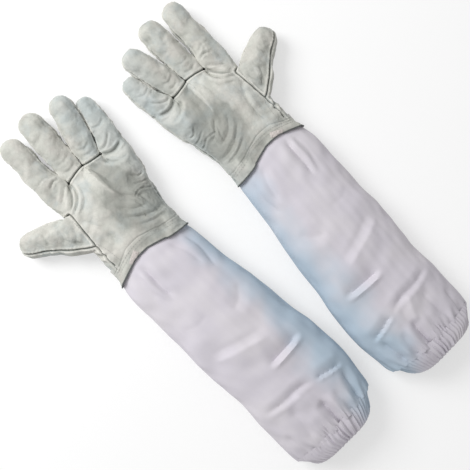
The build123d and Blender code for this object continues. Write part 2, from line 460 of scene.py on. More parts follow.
def swelling(points, facing, centre, radii, height, turn=0.0):
    """Height change of a broad rise or hollow."""
    cos, sin = math.cos(math.radians(turn)), math.sin(math.radians(turn))
    x, y = points[:, 0] - centre[0], points[:, 1] - centre[1]
    u, v = (cos * x + sin * y) / radii[0], (cos * y - sin * x) / radii[1]
    return height * np.exp(-(u * u + v * v)) * facing


def lumps(points, size, seed):
    """Smooth random lumps between about -1 and 1: waves that run in random directions."""
    source = np.random.RandomState(seed)
    total = np.zeros(len(points))
    for _ in range(9):
        way = source.normal(size=3)
        way *= source.uniform(0.6, 1.5) / (np.linalg.norm(way) * size / 6.28)
        total += np.sin(points @ way + source.uniform(0, 6.28))
    return total / 4.2


PALM_FOLDS = [  # path in plan, depth, width on its left, width on its right
    ([(-10, 124), (-15, 112), (-23, 102), (-32, 96)], 2.6, 2.2, 2.6),
    ([(-10, 122), (-10, 110), (-17, 98), (-32, 91)], 2.1, 2.4, 1.8),
    ([(-12, 124), (-22, 117), (-33, 110)], 1.3, 1.8, 2.2),
    ([(-6, 120), (-4, 106), (-12, 92), (-28, 86)], 1.2, 4.0, 3.0),
    ([(-12, 132), (-20, 134), (-29, 130)], 1.1, 1.4, 1.8),
    ([(-14, 136), (-24, 143), (-36, 142)], 0.6, 1.2, 2.0),
    ([(-18, 128), (-24, 137), (-26, 150)], 0.5, 1.2, 2.4),
    ([(14.5, 128), (15.5, 108), (16, 88), (22, 62)], -2.6, 4.5, 8.0),
    ([(16, 124), (21, 106), (25, 84)], 1.4, 5.0, 3.0),
    ([(10, 120), (4, 100), (4, 80)], 0.7, 3.0, 4.0),
    ([(37, 122), (43, 115), (53, 112), (66, 115)], 2.3, 1.8, 2.4),
    ([(39, 124), (47, 122), (56, 127), (62, 133)], 1.4, 1.8, 1.6),
    ([(36, 118), (40, 107), (49, 99), (60, 97)], 1.1, 2.6, 2.6),
    ([(20, 74), (31, 60), (44, 52)], 1.5, 2.4, 2.4),
    ([(6, 68), (20, 50), (40, 42)], 1.3, 2.6, 2.6),
    ([(2, 54), (18, 40), (36, 32), (50, 34)], 1.4, 2.2, 2.6),
    ([(8, 36), (26, 27), (46, 24)], 1.0, 1.8, 2.2),
    ([(24, 64), (29, 52), (30, 40)], 1.0, 1.5, 1.8),
    ([(34, 68), (38, 56), (38, 44)], 0.9, 1.4, 1.6),
    ([(44, 80), (50, 73), (57, 73)], 1.0, 1.1, 1.3),
    ([(40, 71), (49, 65), (56, 64)], 1.1, 1.1, 1.4),
    ([(42, 62), (49, 56), (54, 55)], 1.0, 1.0, 1.3),
    ([(30, 58), (40, 60), (48, 58)], 0.8, 1.2, 1.2),
    ([(-32, 88), (-22, 70), (-18, 50), (-20, 28)], 1.2, 4.5, 3.0),
    ([(-47, 47), (-42, 41), (-35, 34)], 2.4, 1.8, 2.2),
    ([(-48, 38), (-42, 30), (-38, 22)], 0.8, 1.6, 1.8),
    ([(-54, 68), (-44, 75), (-39, 88)], 1.0, 2.6, 2.2),
    ([(-42, 62), (-52, 72), (-58, 86)], 0.9, 2.2, 2.6),
    ([(-62, 76), (-55, 84), (-53, 96)], 0.6, 2.2, 2.2),
    ([(-74, 88), (-70, 96), (-70, 104)], 0.6, 1.8, 2.2),
    ([(-7, 146), (4, 142), (16, 146)], 0.5, 1.5, 2.0),
    ([(-7, 134), (3, 131), (13, 134)], 0.7, 1.6, 1.6),
    ([(20, 142), (30, 136), (40, 139)], 0.7, 1.5, 2.0),
    ([(22, 131), (30, 128), (36, 129)], 0.7, 1.5, 1.5),
    ([(50, 148), (60, 143), (70, 148)], 0.6, 1.4, 1.8),
]
PALM_SWELLS = [  # centre in plan, radii, height, turn
    ((24, 66), (20, 40), -4.6, -12), ((-2, 96), (15, 22), 1.8, 0), ((-22, 72), (13, 26), 1.6, 14),
    ((52, 96), (14, 18), 1.2, 0), ((-10, 34), (30, 10), 1.0, 0), ((44, 44), (12, 18), -1.6, 0)]
SEAM_DEPTH = 2.0
SEAM_WIDTH = 1.0


def slots_by_edge(mesh):
    """The names of the pieces on each side of every edge of the skin."""
    names = [m.name.split(".")[0] for m in mesh.materials]
    owner = {}
    for poly in mesh.polygons:
        for key in poly.edge_keys:
            owner.setdefault(key, []).append(names[poly.material_index])
    return owner


def seam_points(owner, points, wanted):
    """Points on the edges where two wanted pieces of the skin meet."""
    picked = set()
    for key, sides in owner.items():
        if len(sides) == 2 and sides[0] != sides[1] and wanted(set(sides)):
            picked.update(key)
    return points[sorted(picked)]


def nearest(points, targets):
    """Distance from each point to the nearest of the targets."""
    tree = KDTree(len(targets))
    for i, target in enumerate(targets):
        tree.insert(target, i)
    tree.balance()
    return np.array([tree.find(p)[2] for p in points])


def sewn(pair):
    """Whether two neighbouring pieces are joined by a seam, and not cut from one skin."""
    if pair & {"wrist_band"}:
        return False
    if "palm_panel" in pair and pair & {"index_front", "little_front"}:
        return False
    if "back_panel" in pair and any(name.endswith("_back") for name in pair - {"back_panel"}):
        return False
    return True


def settle(piece, held, growth, pressure, bending, frames, cap):
    """Lets the cloth of a piece, in the glove's frame, relax and pucker, moving no point further than the cap."""
    mesh = piece.data
    start = points_of(mesh)
    set_points(mesh, start * MM)
    fixed = piece.vertex_groups.new(name="held")
    for weight in np.unique(held):
        if weight > 0:
            fixed.add([int(v) for v in np.flatnonzero(held == weight)], float(weight), "REPLACE")
    active(piece)
    cloth = piece.modifiers.new("relax", "CLOTH")
    cloth.settings.quality = 6
    cloth.settings.mass = 0.15
    cloth.settings.air_damping = 4
    cloth.settings.tension_stiffness = cloth.settings.compression_stiffness = 18
    cloth.settings.shear_stiffness = 8
    cloth.settings.bending_stiffness = bending
    cloth.settings.vertex_group_mass = "held"
    cloth.settings.shrink_min = -growth
    cloth.settings.use_pressure = True
    cloth.settings.uniform_pressure_force = pressure
    cloth.settings.effector_weights.gravity = 0
    cloth.collision_settings.use_collision = False
    cloth.point_cache.frame_start, cloth.point_cache.frame_end = 1, frames
    for frame_number in range(1, frames + 1):
        bpy.context.scene.frame_set(frame_number)
    relaxed = piece.evaluated_get(bpy.context.evaluated_depsgraph_get())
    moved = points_of(relaxed.data) / MM - start
    piece.modifiers.remove(cloth)
    bpy.context.scene.frame_set(1)
    piece.vertex_groups.remove(fixed)
    length = np.linalg.norm(moved, axis=1)[:, None]
    moved *= cap * np.tanh(length / cap) / np.maximum(length, 1e-6)
    set_points(mesh, start + moved)


def leather_hand(side):
    """The whole leather hand in the glove's frame, as one object whose material slots name its pieces."""
    skin = hand_skin(side)
    used = sorted({v for face in skin.faces for v in face})
    renumber = {old: new for new, old in enumerate(used)}
    hand = mesh_from("hand_skin", [skin.points[v] for v in used],
                     [tuple(renumber[v] for v in face) for face in skin.faces])
    names = sorted(set(skin.tags))
    for name in names:
        hand.data.materials.append(bpy.data.materials.new(name))
    for poly, tag in zip(hand.data.polygons, skin.tags):
        poly.material_index = names.index(tag)
        poly.use_smooth = True
    bm = bmesh.new()
    bm.from_mesh(hand.data)
    bmesh.ops.recalc_face_normals(bm, faces=bm.faces)
    inner = [v for v in bm.verts if not v.is_boundary]
    for _ in range(3):
        bmesh.ops.smooth_vert(bm, verts=inner, factor=0.5, use_axis_x=True, use_axis_y=True, use_axis_z=True)
    cuff_rim = np.array([v.is_boundary for v in bm.verts])
    bm.to_mesh(hand.data)
    bm.free()
    points = points_of(hand.data)
    seams = seam_points(slots_by_edge(hand.data), points, sewn)
    held = np.where(nearest(points, seams) < 0.5, 0.85, 0.0)
    held = np.where(cuff_rim | (points[:, 2] < 3.0), 1.0, held)
    settle(hand, held, LEATHER_GROWTH, 1.0, 2.5, 18, 2.2)
    apply_modifier(hand, "fine", "SUBSURF", levels=2, render_levels=2)
    mesh = hand.data
    owner = slots_by_edge(mesh)
    points, normals = points_of(mesh), normals_of(mesh)
    facing = smooth(0.0, 0.5, normals[:, 2])
    change = np.zeros(len(points))
    for path, depth, near, far in PALM_FOLDS:
        change += fold(points, facing, path, depth, near, far)
    for centre, radii, height, turn in PALM_SWELLS:
        change += swelling(points, facing, centre, radii, height, turn)
    change += 0.6 * lumps(points, 26, 1) + 0.34 * lumps(points, 11, 2) + 0.12 * lumps(points, 4.5, 3)
    gap = nearest(points, seam_points(owner, points, sewn))
    pucker = 0.28 * lumps(points, 3.4, 6) * np.exp(-((gap - 2.4) / 1.8) ** 2)
    change += SEAM_DEPTH * (-np.exp(-gap / SEAM_WIDTH) + 0.42 * np.exp(-((gap - 2.3) / 1.3) ** 2)) + pucker
    # Painted highlight and painted shade: lighter on the raised shoulders beside each seam, darker in the seam's
    # groove and along the wrist band's edge, and lighter on every rise and darker in every hollow of the height
    # change.
    wear = 0.75 * np.exp(-((gap - 1.9) / 0.8) ** 2) - 1.3 * np.exp(-(gap / 0.75) ** 2)
    band = nearest(points, seam_points(owner, points, lambda pair: "wrist_band" in pair))
    change -= 0.5 * np.exp(-(band / 0.8) ** 2)
    wear -= 0.15 * np.exp(-(band / 0.7) ** 2)
    wear += 0.5 * np.clip(change, -1.2, 0.9)
    points = points + normals * change[:, None]
    points[:, 2] = np.maximum(points[:, 2], 0.3)
    set_points(mesh, points)
    store_painted_light_shade(mesh, wear)
    return hand


LEATHER_GROWTH = 0.02


def store_painted_light_shade(mesh, wear):
    """Keeps, at each point, how much painted highlight (above 0) or painted shade (below 0) the surface's colour
    takes.
    """
    layer = mesh.attributes.new("wear", "FLOAT", "POINT")
    layer.data.foreach_set("value", np.clip(wear, -1.5, 1.5))


def split_pieces(whole):
    """One object for each material slot of the whole, named after it."""
    active(whole)
    bpy.ops.object.mode_set(mode="EDIT")
    bpy.ops.mesh.select_all(action="SELECT")
    bpy.ops.mesh.separate(type="MATERIAL")
    bpy.ops.object.mode_set(mode="OBJECT")
    out = {}
    for piece in list(bpy.context.selected_objects):
        name = piece.data.materials[0].name
        out[name.split(".")[0]] = piece
    return out


def finish_piece(source, side, name, material, thickness, shade_angle=50):
    """Copy of a piece made in the glove's frame, placed on its side, given a wall and a finish."""
    piece = source.copy()
    piece.data = source.data.copy()
    bpy.context.collection.objects.link(piece)
    piece.name = piece.data.name = f"{side}_{name}_look"
    set_points(piece.data, PLACE[side](points_of(piece.data)))
    if side == "right":
        piece.data.flip_normals()
    piece.data.materials.clear()
    piece.data.materials.append(material)
    if thickness:
        apply_modifier(piece, "wall", "SOLIDIFY", thickness=thickness * MM, offset=-1.0, use_even_offset=False)
    active(piece)
    bpy.ops.object.shade_smooth_by_angle(angle=math.radians(shade_angle))
    return piece


def direction(side, vector):
    """Direction of the glove's frame in the row's frame."""
    origin = PLACE[side](np.zeros(3))
    return PLACE[side](np.asarray(vector, float)) - origin


def attach(piece, side, name):
    """Makes a leather piece follow the hand's body; a piece whose finger or thumb has a bend joint only has its
    placing baked in and follows no body.
    """
    finger = name.split("_")[0]
    if f"{side}_{finger}_bend" in JOINTS and finger != "wrist":
        joint = JOINTS[f"{side}_{finger}_bend"]
        pivot = Vector(joint["pos_m"])
        axis = Vector(joint["axis"])
        if finger == "thumb":
            outward = axis.cross(Vector((0, 0, 1)))
            tip = Vector(PLACE[side](np.array([*THUMB_LINE[-1], 13.0])))
        else:
            outward = axis.cross(Vector((0, 0, 1)))
            tip = Vector(PLACE[side](np.array([*FINGERS[finger][0][-1], 13.0])))
        if outward.dot(tip - pivot) < 0:
            outward.negate()
        outward.normalize()
        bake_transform(piece)
    else:
        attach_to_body(piece, f"{side}_hand")


# ---------------------------------------------------------------- the canvas sleeve

AROUND = 216
ALONG = 140
SLEEVE_START = 5.0           # how far the canvas is tucked under the leather
HEM_END = -291.0
CASING = 22.0
TUCK = 3.5                   # how far the sleeve goes in under the casing
SLEEVE_EDGES = [  # place along the glove, left edge, right edge, height
    (16, -50.5, 47.5, 40), (0, -51.5, 48.5, 41), (-16, -54, 49.5, 43), (-50, -54.5, 52, 45), (-82, -54.3, 56, 47),
    (-115, -56, 60, 49), (-148, -55.5, 62, 50), (-181, -54, 66, 51), (-214, -56.5, 67.5, 51), (-235, -57.5, 66, 50),
    (-255, -58, 62.5, 48), (-272, -56.0, 57.5, 45), (-283, -53.5, 51.5, 43), (-291, -47.0, 46.0, 41)]
SLEEVE_FOLDS = [  # path in plan, depth, width on its left, width on its right
    ([(-22, 6), (-20, -12), (-21, -30), (-18, -50)], 2.8, 5.0, 3.0),
    ([(-30, 2), (-33, -18), (-31, -40)], 1.2, 4.0, 6.0),
    ([(18, 0), (26, -22), (30, -48)], 1.6, 6.0, 5.0),
    ([(36, -6), (40, -30), (36, -60)], 1.8, 5.0, 4.5),
    ([(-44, -127), (-10, -138), (24, -149)], -2.2, 5.0, 12.0),
    ([(-4, -171), (22, -172), (48, -170)], 5.4, 15.0, 3.0),
    ([(-46, -205), (-20, -210), (2, -211), (22, -217)], 2.0, 5.0, 3.0),
    ([(20, -217), (38, -223), (56, -229)], 2.6, 6.0, 1.8),
    ([(-7, -210), (0, -226), (4, -244)], -2.4, 5.0, 8.0),
    ([(9, -234), (9, -254), (7, -282)], 5.0, 5.0, 6.0),
    ([(49, -232), (46, -248), (40, -272)], 3.4, 4.5, 4.5),
    ([(-22, -218), (-22, -238), (-26, -266)], 2.4, 6.0, 8.0),
    ([(26, -238), (27, -256), (24, -276)], 1.6, 3.5, 5.0),
    ([(-44, -236), (-43, -256), (-41, -276)], 1.6, 4.0, 5.0),
    ([(40, -84), (28, -98), (12, -104)], 1.2, 6.0, 8.0),
    ([(-40, -78), (-24, -86), (-6, -84)], 0.9, 7.0, 9.0),
]


def tube_ring(y, inset, count, wave=0.0):
    """Points round the flattened tube at one place along it."""
    left, right, height = (float(v[0]) for v in stations(SLEEVE_EDGES[::-1], [y]))
    ring = []
    side = height * 0.42
    for k in range(count):
        angle = 2 * math.pi * k / count
        share = -math.cos(angle)
        if math.sin(angle) >= 0:
            z = side + (height - side) * abs(math.sin(angle)) ** 0.86
        else:
            z = side - (side - 0.8) * abs(math.sin(angle)) ** 0.5
        x = (left + right) / 2 + (right - left) / 2 * share
        ring.append((x, y, z))
    ring = np.array(ring)
    centre = np.array([(left + right) / 2, y, height / 2])
    away = ring - centre
    away[:, 1] = 0
    away /= np.linalg.norm(away, axis=1)[:, None]
    return ring - away * inset, away


def cuff_place(x):
    """Where the leather's lower edge runs, on both sides of the hand."""
    share = (np.asarray(x, float) + 52) / 101
    return np.interp(share, *zip(*CUFF_LINE))


def sleeve_skin():
    """Canvas tube from under the leather to the hem's casing."""
    places = np.linspace(0, 1, ALONG + 1)
    points, faces = [], []
    for n, share in enumerate(places):
        base_y = SLEEVE_START * (1 - share) + (HEM_END + CASING - TUCK) * share
        tuck = 1.6 * (1 - smooth(0, 0.05, share))
        ring, away = tube_ring(base_y, tuck, AROUND)
        ring[:, 1] += cuff_place(ring[:, 0]) * (1 - smooth(0, 0.35, share))
        points.extend(ring)
    for n in range(ALONG):
        for k in range(AROUND):
            a, b = n * AROUND + k, n * AROUND + (k + 1) % AROUND
            faces.append((a, a + AROUND, b + AROUND, b))
    piece = mesh_from("sleeve_skin", points, faces)
    bm = bmesh.new()
    bm.from_mesh(piece.data)
    bmesh.ops.recalc_face_normals(bm, faces=bm.faces)
    bm.to_mesh(piece.data)
    bm.free()
    mesh = piece.data
    for poly in mesh.polygons:
        poly.use_smooth = True
    points, normals = points_of(mesh), normals_of(mesh)
    middle = points.mean(axis=0)
    if np.mean((points - middle)[:, 2] * normals[:, 2]) < 0:
        mesh.flip_normals()
        normals = -normals
    facing = smooth(-0.1, 0.5, normals[:, 2])
    change = np.zeros(len(points))
    for path, depth, near, far in SLEEVE_FOLDS:
        change += fold(points, facing, path, depth, near, far)
    change += (1.1 * lumps(points * [1, 0.6, 1], 34, 4) + 0.4 * lumps(points, 14, 5)) * (0.3 + 0.7 * facing)
    ends = smooth(0, 22, SLEEVE_START - points[:, 1] + 8)
    gather = smooth(-250, -270, points[:, 1])
    angle = np.arctan2(points[:, 2] - 22, points[:, 0] - 2)
    change = change * ends + gather * ruffle(angle * 0.5, points[:, 1]) * 0.9
    points = points + normals * change[:, None]
    points[:, 2] = np.maximum(points[:, 2], 0.3)
    set_points(mesh, points)
    return piece


def ruffle(angle, y):
    """Gathers of the elasticated hem: uneven pleats round the opening."""
    phase = angle * 64 + 2.2 * np.sin(angle * 5 + 0.7) + 1.3 * np.sin(angle * 13 + y * 0.05)
    return 1.0 * np.sin(phase) + 0.4 * np.sin(angle * 97 + 1.9 * np.sin(angle * 7) + y * 0.04)


def pull_in(points):
    """Draws the sides of the hem back from its middle, as the elastic does."""
    points[:, 1] += 11 * np.abs(points[:, 0] / 52) ** 4 * smooth(-268, -291, points[:, 1])


def casing_skin():
    """Gathered casing: outer cloth, rolled end and the inner layer that goes back inside."""
    count = AROUND * 2
    rows = []
    outer = np.linspace(HEM_END + CASING, HEM_END, 14)
    for y in outer:
        share = (HEM_END + CASING - y) / CASING
        puff = 1.6 * math.sin(math.pi * min(share * 1.02, 1)) * 0.8
        ring, away = tube_ring(y, 0, count)
        angle = np.linspace(0, 2 * math.pi, count, endpoint=False)
        swell = ruffle(angle, ring[:, 1]) * (0.8 + 0.9 * share)
        rows.append(ring + away * (puff + swell)[:, None])
    for turn in np.linspace(0.25, 1.0, 6):
        ring, away = tube_ring(HEM_END, 0, count)
        angle = np.linspace(0, 2 * math.pi, count, endpoint=False)
        swell = ruffle(angle, ring[:, 1]) * 1.25 * (1 - 0.35 * turn)
        ring = ring + away * (swell - 4.4 * turn)[:, None]
        ring[:, 1] -= 2.6 * math.sin(math.pi * turn) + 1.1 * np.sin(angle * 3 + 1.0) * math.sin(math.pi * turn)
        rows.append(ring)
    for y in np.linspace(HEM_END + 2, HEM_END + CASING - 1, 9):
        ring, away = tube_ring(y, 4.2, count)
        angle = np.linspace(0, 2 * math.pi, count, endpoint=False)
        rows.append(ring + away * (ruffle(angle, ring[:, 1]) * 0.6)[:, None])
    points = np.concatenate(rows)
    pull_in(points)
    points[:, 2] = np.maximum(points[:, 2], 0.3)
    faces = []
    for n in range(len(rows) - 1):
        for k in range(count):
            a, b = n * count + k, n * count + (k + 1) % count
            faces.append((a, a + count, b + count, b))
    piece = mesh_from("casing_skin", points, faces)
    for poly in piece.data.polygons:
        poly.use_smooth = True
    return piece


def elastic_band(y, width, inset):
    """Flat gathered elastic round the inside of the tube, in the glove's frame."""
    rows = []
    for share in np.linspace(0, 1, 7):
        ring, away = tube_ring(y - width * share, inset, AROUND)
        ribs = 0.22 * np.sin(np.linspace(0, 2 * math.pi * 70, AROUND, endpoint=False))
        rows.append(ring + away * ribs[:, None])
    points = np.concatenate(rows)
    pull_in(points)
    points[:, 2] = np.maximum(points[:, 2], 1.4)
    faces = []
    for n in range(len(rows) - 1):
        for k in range(AROUND):
            a, b = n * AROUND + k, n * AROUND + (k + 1) % AROUND
            faces.append((a, a + AROUND, b + AROUND, b))
    return mesh_from("elastic", points, faces)


def tree_of(piece):
    bm = bmesh.new()
    bm.from_mesh(piece.data)
    tree = BVHTree.FromBMesh(bm)
    bm.free()
    return tree


def drop(tree, x, y):
    """Height of the leather's palm side at a place in plan."""
    hit = tree.ray_cast(Vector((x, y, 90)), Vector((0, 0, -1)))[0]
    return hit.z if hit is not None else 0.0


TAB_CORNERS = [(-26.5, 12.5), (-12.5, 19.0), (-10.0, 13.0), (-23.5, 6.5)]


def tab_patch(tree):
    """Small leather patch over the end of the thumb's seam, pressed in where its needle holes are."""
    a, b, c, d = (np.array(p, float) for p in TAB_CORNERS)
    columns, rows = 28, 14
    points, faces = [], []
    holes = [(0.12, 0.2), (0.12, 0.8), (0.45, 0.2), (0.45, 0.8), (0.85, 0.2), (0.85, 0.8)]
    for i in range(columns + 1):
        for j in range(rows + 1):
            u, v = i / columns, j / rows
            x, y = (a * (1 - u) + b * u) * (1 - v) + (d * (1 - u) + c * u) * v
            lift = 0.9 * min(1.0, 7 * min(u * 2, (1 - u) * 2, v, 1 - v))
            for hole_u, hole_v in holes:
                lift -= 0.8 * math.exp(-((u - hole_u) * 15) ** 2 - ((v - hole_v) * 7.5) ** 2)
            points.append((x, y, drop(tree, x, y) + 0.2 + lift))
    for i in range(columns):
        for j in range(rows):
            e = i * (rows + 1) + j
            faces.append((e, e + 1, e + rows + 2, e + rows + 1))
    piece = mesh_from("seam_tab", points, faces)
    if np.mean(normals_of(piece.data)[:, 2]) < 0:
        piece.data.flip_normals()
    return piece


def stitch_row(tree, path, pitch=3.0, length=2.2, thick=0.32):
    """Row of short stitches laid on the palm side along a path in plan."""
    line = curve_through(path, 200)
    along = np.concatenate([[0], np.cumsum(np.linalg.norm(np.diff(line, axis=0), axis=1))])
    points, faces = [], []
    for at in np.arange(pitch, along[-1] - length, pitch):
        ends = [np.array([np.interp(at + off, along, line[:, k]) for k in (0, 1)]) for off in (0, length)]
        ahead = (ends[1] - ends[0]) / np.linalg.norm(ends[1] - ends[0])
        sideways = np.array([-ahead[1], ahead[0]])
        first = len(points)
        for share, swell in ((0.0, 0.3), (0.3, 1.0), (0.7, 1.0), (1.0, 0.3)):
            x, y = ends[0] * (1 - share) + ends[1] * share
            z = drop(tree, x, y) + 0.1
            for k in range(6):
                turn = 2 * math.pi * k / 6
                off = sideways * math.cos(turn) * thick * swell
                points.append((x + off[0], y + off[1], z + math.sin(turn) * thick * swell))
        for r in range(3):
            for k in range(6):
                e, f = first + r * 6 + k, first + r * 6 + (k + 1) % 6
                faces.append((e, e + 6, f + 6, f))
        faces.append(tuple(first + k for k in range(6)))
        faces.append(tuple(first + 18 + k for k in reversed(range(6))))
    return points, faces


def rim_cord(hand, radius=0.75):
    """Thin dark seam line along the leather's lower edge."""
    bm = bmesh.new()
    bm.from_mesh(hand.data)
    edges = {e for e in bm.edges if e.is_boundary}
    start = next(iter(sorted((v.index for e in edges for v in e.verts))))
    bm.verts.ensure_lookup_table()
    loop, here, came = [], bm.verts[start], None
    while here is not None and (not loop or here.index != start):
        loop.append(here.co.copy())
        step = [e for e in here.link_edges if e.is_boundary and e is not came]
        came = step[0] if step else None
        here = came.other_vert(here) if came else None
    bm.free()
    loop = loop[::2]
    points, faces, count = [], [], len(loop)
    for i, place in enumerate(loop):
        ahead = (loop[(i + 1) % count] - loop[i - 1]).normalized()
        first = ahead.orthogonal() if abs(ahead.z) > 0.95 else ahead.cross(Vector((0, 0, 1)))
        first.normalize()
        second = ahead.cross(first)
        for k in range(6):
            turn = 2 * math.pi * k / 6
            spot = place + (first * math.cos(turn) + second * math.sin(turn)) * radius
            points.append((spot.x, spot.y, max(spot.z, 0.1)))
    for i in range(count):
        for k in range(6):
            e, f = i * 6 + k, i * 6 + (k + 1) % 6
            g, h = ((i + 1) % count) * 6 + k, ((i + 1) % count) * 6 + (k + 1) % 6
            faces.append((e, f, h, g))
    piece = mesh_from("cuff_seam", points, faces)
    bm = bmesh.new()
    bm.from_mesh(piece.data)
    bmesh.ops.recalc_face_normals(bm, faces=bm.faces)
    bm.to_mesh(piece.data)
    bm.free()
    return piece


BAND_STITCHES = [[(-46, 10.5 + lift), (-28, 15.5 + lift), (-8, 18.5 + lift), (12, 17.0 + lift), (28, 11.5 + lift),
                  (44, 7.5 + lift)] for lift in (0.0, 3.4)]
THUMB_STITCHES = [[(-37.5, 57), (-32.5, 44), (-30, 22), (-27, 12)], [(-35.5, 92), (-36.5, 66), (-37.5, 58)]]


def stitch_piece(tree):
    points, faces = [], []
    for path in [*BAND_STITCHES, *THUMB_STITCHES]:
        more, new_faces = stitch_row(tree, path)
        faces += [tuple(v + len(points) for v in face) for face in new_faces]
        points += more
    piece = mesh_from("stitches", points, faces)
    bm = bmesh.new()
    bm.from_mesh(piece.data)
    bmesh.ops.recalc_face_normals(bm, faces=bm.faces)
    bm.to_mesh(piece.data)
    bm.free()
    return piece


# ---------------------------------------------------------------- finishes


def group(name, inputs, outputs):
    """Empty shader group with named sockets."""
    tree = bpy.data.node_groups.new(name, "ShaderNodeTree")
    for label, kind, value in inputs:
        socket = tree.interface.new_socket(name=label, in_out="INPUT", socket_type=kind)
        if value is not None:
            socket.default_value = value
    for label, kind in outputs:
        tree.interface.new_socket(name=label, in_out="OUTPUT", socket_type=kind)
    return tree, tree.nodes.new("NodeGroupInput"), tree.nodes.new("NodeGroupOutput")


def mix_colors(tree, factor, a, b):
    """Colour mix node; returns its output."""
    node = tree.nodes.new("ShaderNodeMix")
    node.data_type = "RGBA"
    for socket, value in ((node.inputs[0], factor), (node.inputs[6], a), (node.inputs[7], b)):
        if isinstance(value, bpy.types.NodeSocket):
            tree.links.new(value, socket)
        else:
            socket.default_value = value
    return node.outputs[2]


def math_node(tree, operation, a, b=None, c=None, clamp=False):
    node = tree.nodes.new("ShaderNodeMath")
    node.operation = operation
    node.use_clamp = clamp
    for socket, value in zip(node.inputs, (a, b, c)):
        if value is None:
            continue
        if isinstance(value, bpy.types.NodeSocket):
            tree.links.new(value, socket)
        else:
            socket.default_value = value
    return node.outputs[0]


def noise_node(tree, vector, scale, detail=3.0, rough=0.5):
    node = tree.nodes.new("ShaderNodeTexNoise")
    tree.links.new(vector, node.inputs["Vector"])
    node.inputs["Scale"].default_value = scale
    node.inputs["Detail"].default_value = detail
    node.inputs["Roughness"].default_value = rough
    return node.outputs["Fac"]


def spread(tree, value, low, high, to_low=0.0, to_high=1.0):
    node = tree.nodes.new("ShaderNodeMapRange")
    node.interpolation_type = "SMOOTHSTEP"
    tree.links.new(value, node.inputs["Value"])
    for label, number in (("From Min", low), ("From Max", high), ("To Min", to_low), ("To Max", to_high)):
        node.inputs[label].default_value = number
    return node.outputs["Result"]


def painted_inner_shade_group():
    """Share of the painted bluish shade on the inner sides of the pair, which face each other: shade painted into the
    colour, highest near the pair's middle.
    """
    tree, _, result = group("cool_inner_side", [], [("Share", "NodeSocketFloat")])
    place = tree.nodes.new("ShaderNodeTexCoord").outputs["Object"]
    split = tree.nodes.new("ShaderNodeSeparateXYZ")
    tree.links.new(place, split.inputs[0])
    away = math_node(tree, "ABSOLUTE", split.outputs["X"])
    patchy = noise_node(tree, place, 22.0, 2.0)
    away = math_node(tree, "ADD", away, math_node(tree, "MULTIPLY", math_node(tree, "SUBTRACT", patchy, 0.5), 0.05))
    # Painted shade mask: 1 near the middle of the pair, where the inner sides are, fading outwards.
    painted_inner_shade_mask = spread(tree, away, 0.062, 0.022)
    tree.links.new(painted_inner_shade_mask, result.inputs["Share"])
    return tree


def leather_group():
    """Soft full-grain leather: mottled colour, fine pebbled grain and small wrinkles, darkened along the fine
    wrinkles' grooves, with painted highlight and painted shade from the stored value and a painted bluish shade on
    the pair's inner sides.
    """
    tree, given, result = group(
        "soft_grain_leather",
        [("Base", "NodeSocketColor", (0.5, 0.5, 0.5, 1)), ("Warm", "NodeSocketColor", (0.5, 0.5, 0.5, 1)),
         ("Cool", "NodeSocketColor", (0.5, 0.5, 0.5, 1)), ("Cool Side", "NodeSocketFloat", 0.0),
         ("Rubbed", "NodeSocketColor", (0.7, 0.7, 0.7, 1)), ("Grime", "NodeSocketColor", (0.2, 0.2, 0.2, 1)),
         ("Wear", "NodeSocketFloat", 0.0), ("Mottle", "NodeSocketFloat", 0.5)],
        [("Color", "NodeSocketColor"), ("Roughness", "NodeSocketFloat"), ("Height", "NodeSocketFloat")])
    place = tree.nodes.new("ShaderNodeTexCoord").outputs["Object"]
    warm = math_node(tree, "MULTIPLY", spread(tree, noise_node(tree, place, 48, 4, 0.6), 0.42, 0.68),
                     given.outputs["Mottle"])
    cool = math_node(tree, "MULTIPLY", spread(tree, noise_node(tree, place, 31, 4, 0.6), 0.46, 0.70),
                     given.outputs["Mottle"])
    color = mix_colors(tree, warm, given.outputs["Base"], given.outputs["Warm"])
    color = mix_colors(tree, cool, color, given.outputs["Cool"])
    # Painted inner shade: the cool colour is mixed in on the inner sides of the pair as a bluish shade painted into
    # the colour.
    color = mix_colors(tree, math_node(tree, "MULTIPLY", given.outputs["Cool Side"], 0.55), color,
                       given.outputs["Cool"])
    # Painted highlight where the stored value is above 0, painted shade where it is below.
    color = mix_colors(tree, spread(tree, given.outputs["Wear"], 0.0, 1.1), color, given.outputs["Rubbed"])
    color = mix_colors(tree, spread(tree, given.outputs["Wear"], 0.0, -1.2), color, given.outputs["Grime"])
    cells = tree.nodes.new("ShaderNodeTexVoronoi")
    tree.links.new(place, cells.inputs["Vector"])
    cells.inputs["Scale"].default_value = 900
    grain = spread(tree, cells.outputs["Distance"], 0.05, 0.75)
    creases = noise_node(tree, place, 260, 6, 0.62)
    crinkle = math_node(tree, "ABSOLUTE", math_node(tree, "SUBTRACT", noise_node(tree, place, 130, 4, 0.55), 0.5))
    crinkle = spread(tree, crinkle, 0.0, 0.09)
    height = math_node(tree, "MULTIPLY_ADD", grain, 0.22, math_node(tree, "MULTIPLY", creases, 0.6))
    height = math_node(tree, "MULTIPLY_ADD", crinkle, 0.32, height)
    dark = spread(tree, crinkle, 0.0, 0.6, 0.94, 1.0)
    shade = tree.nodes.new("ShaderNodeCombineColor")
    for socket in shade.inputs:
        tree.links.new(dark, socket)
    darkened = tree.nodes.new("ShaderNodeMix")
    darkened.data_type, darkened.blend_type = "RGBA", "MULTIPLY"
    darkened.inputs[0].default_value = 1.0
    tree.links.new(color, darkened.inputs[6])
    tree.links.new(shade.outputs[0], darkened.inputs[7])
    tree.links.new(darkened.outputs[2], result.inputs["Color"])
    tree.links.new(spread(tree, creases, 0.3, 0.7, 0.62, 0.78), result.inputs["Roughness"])
    tree.links.new(height, result.inputs["Height"])
    return tree


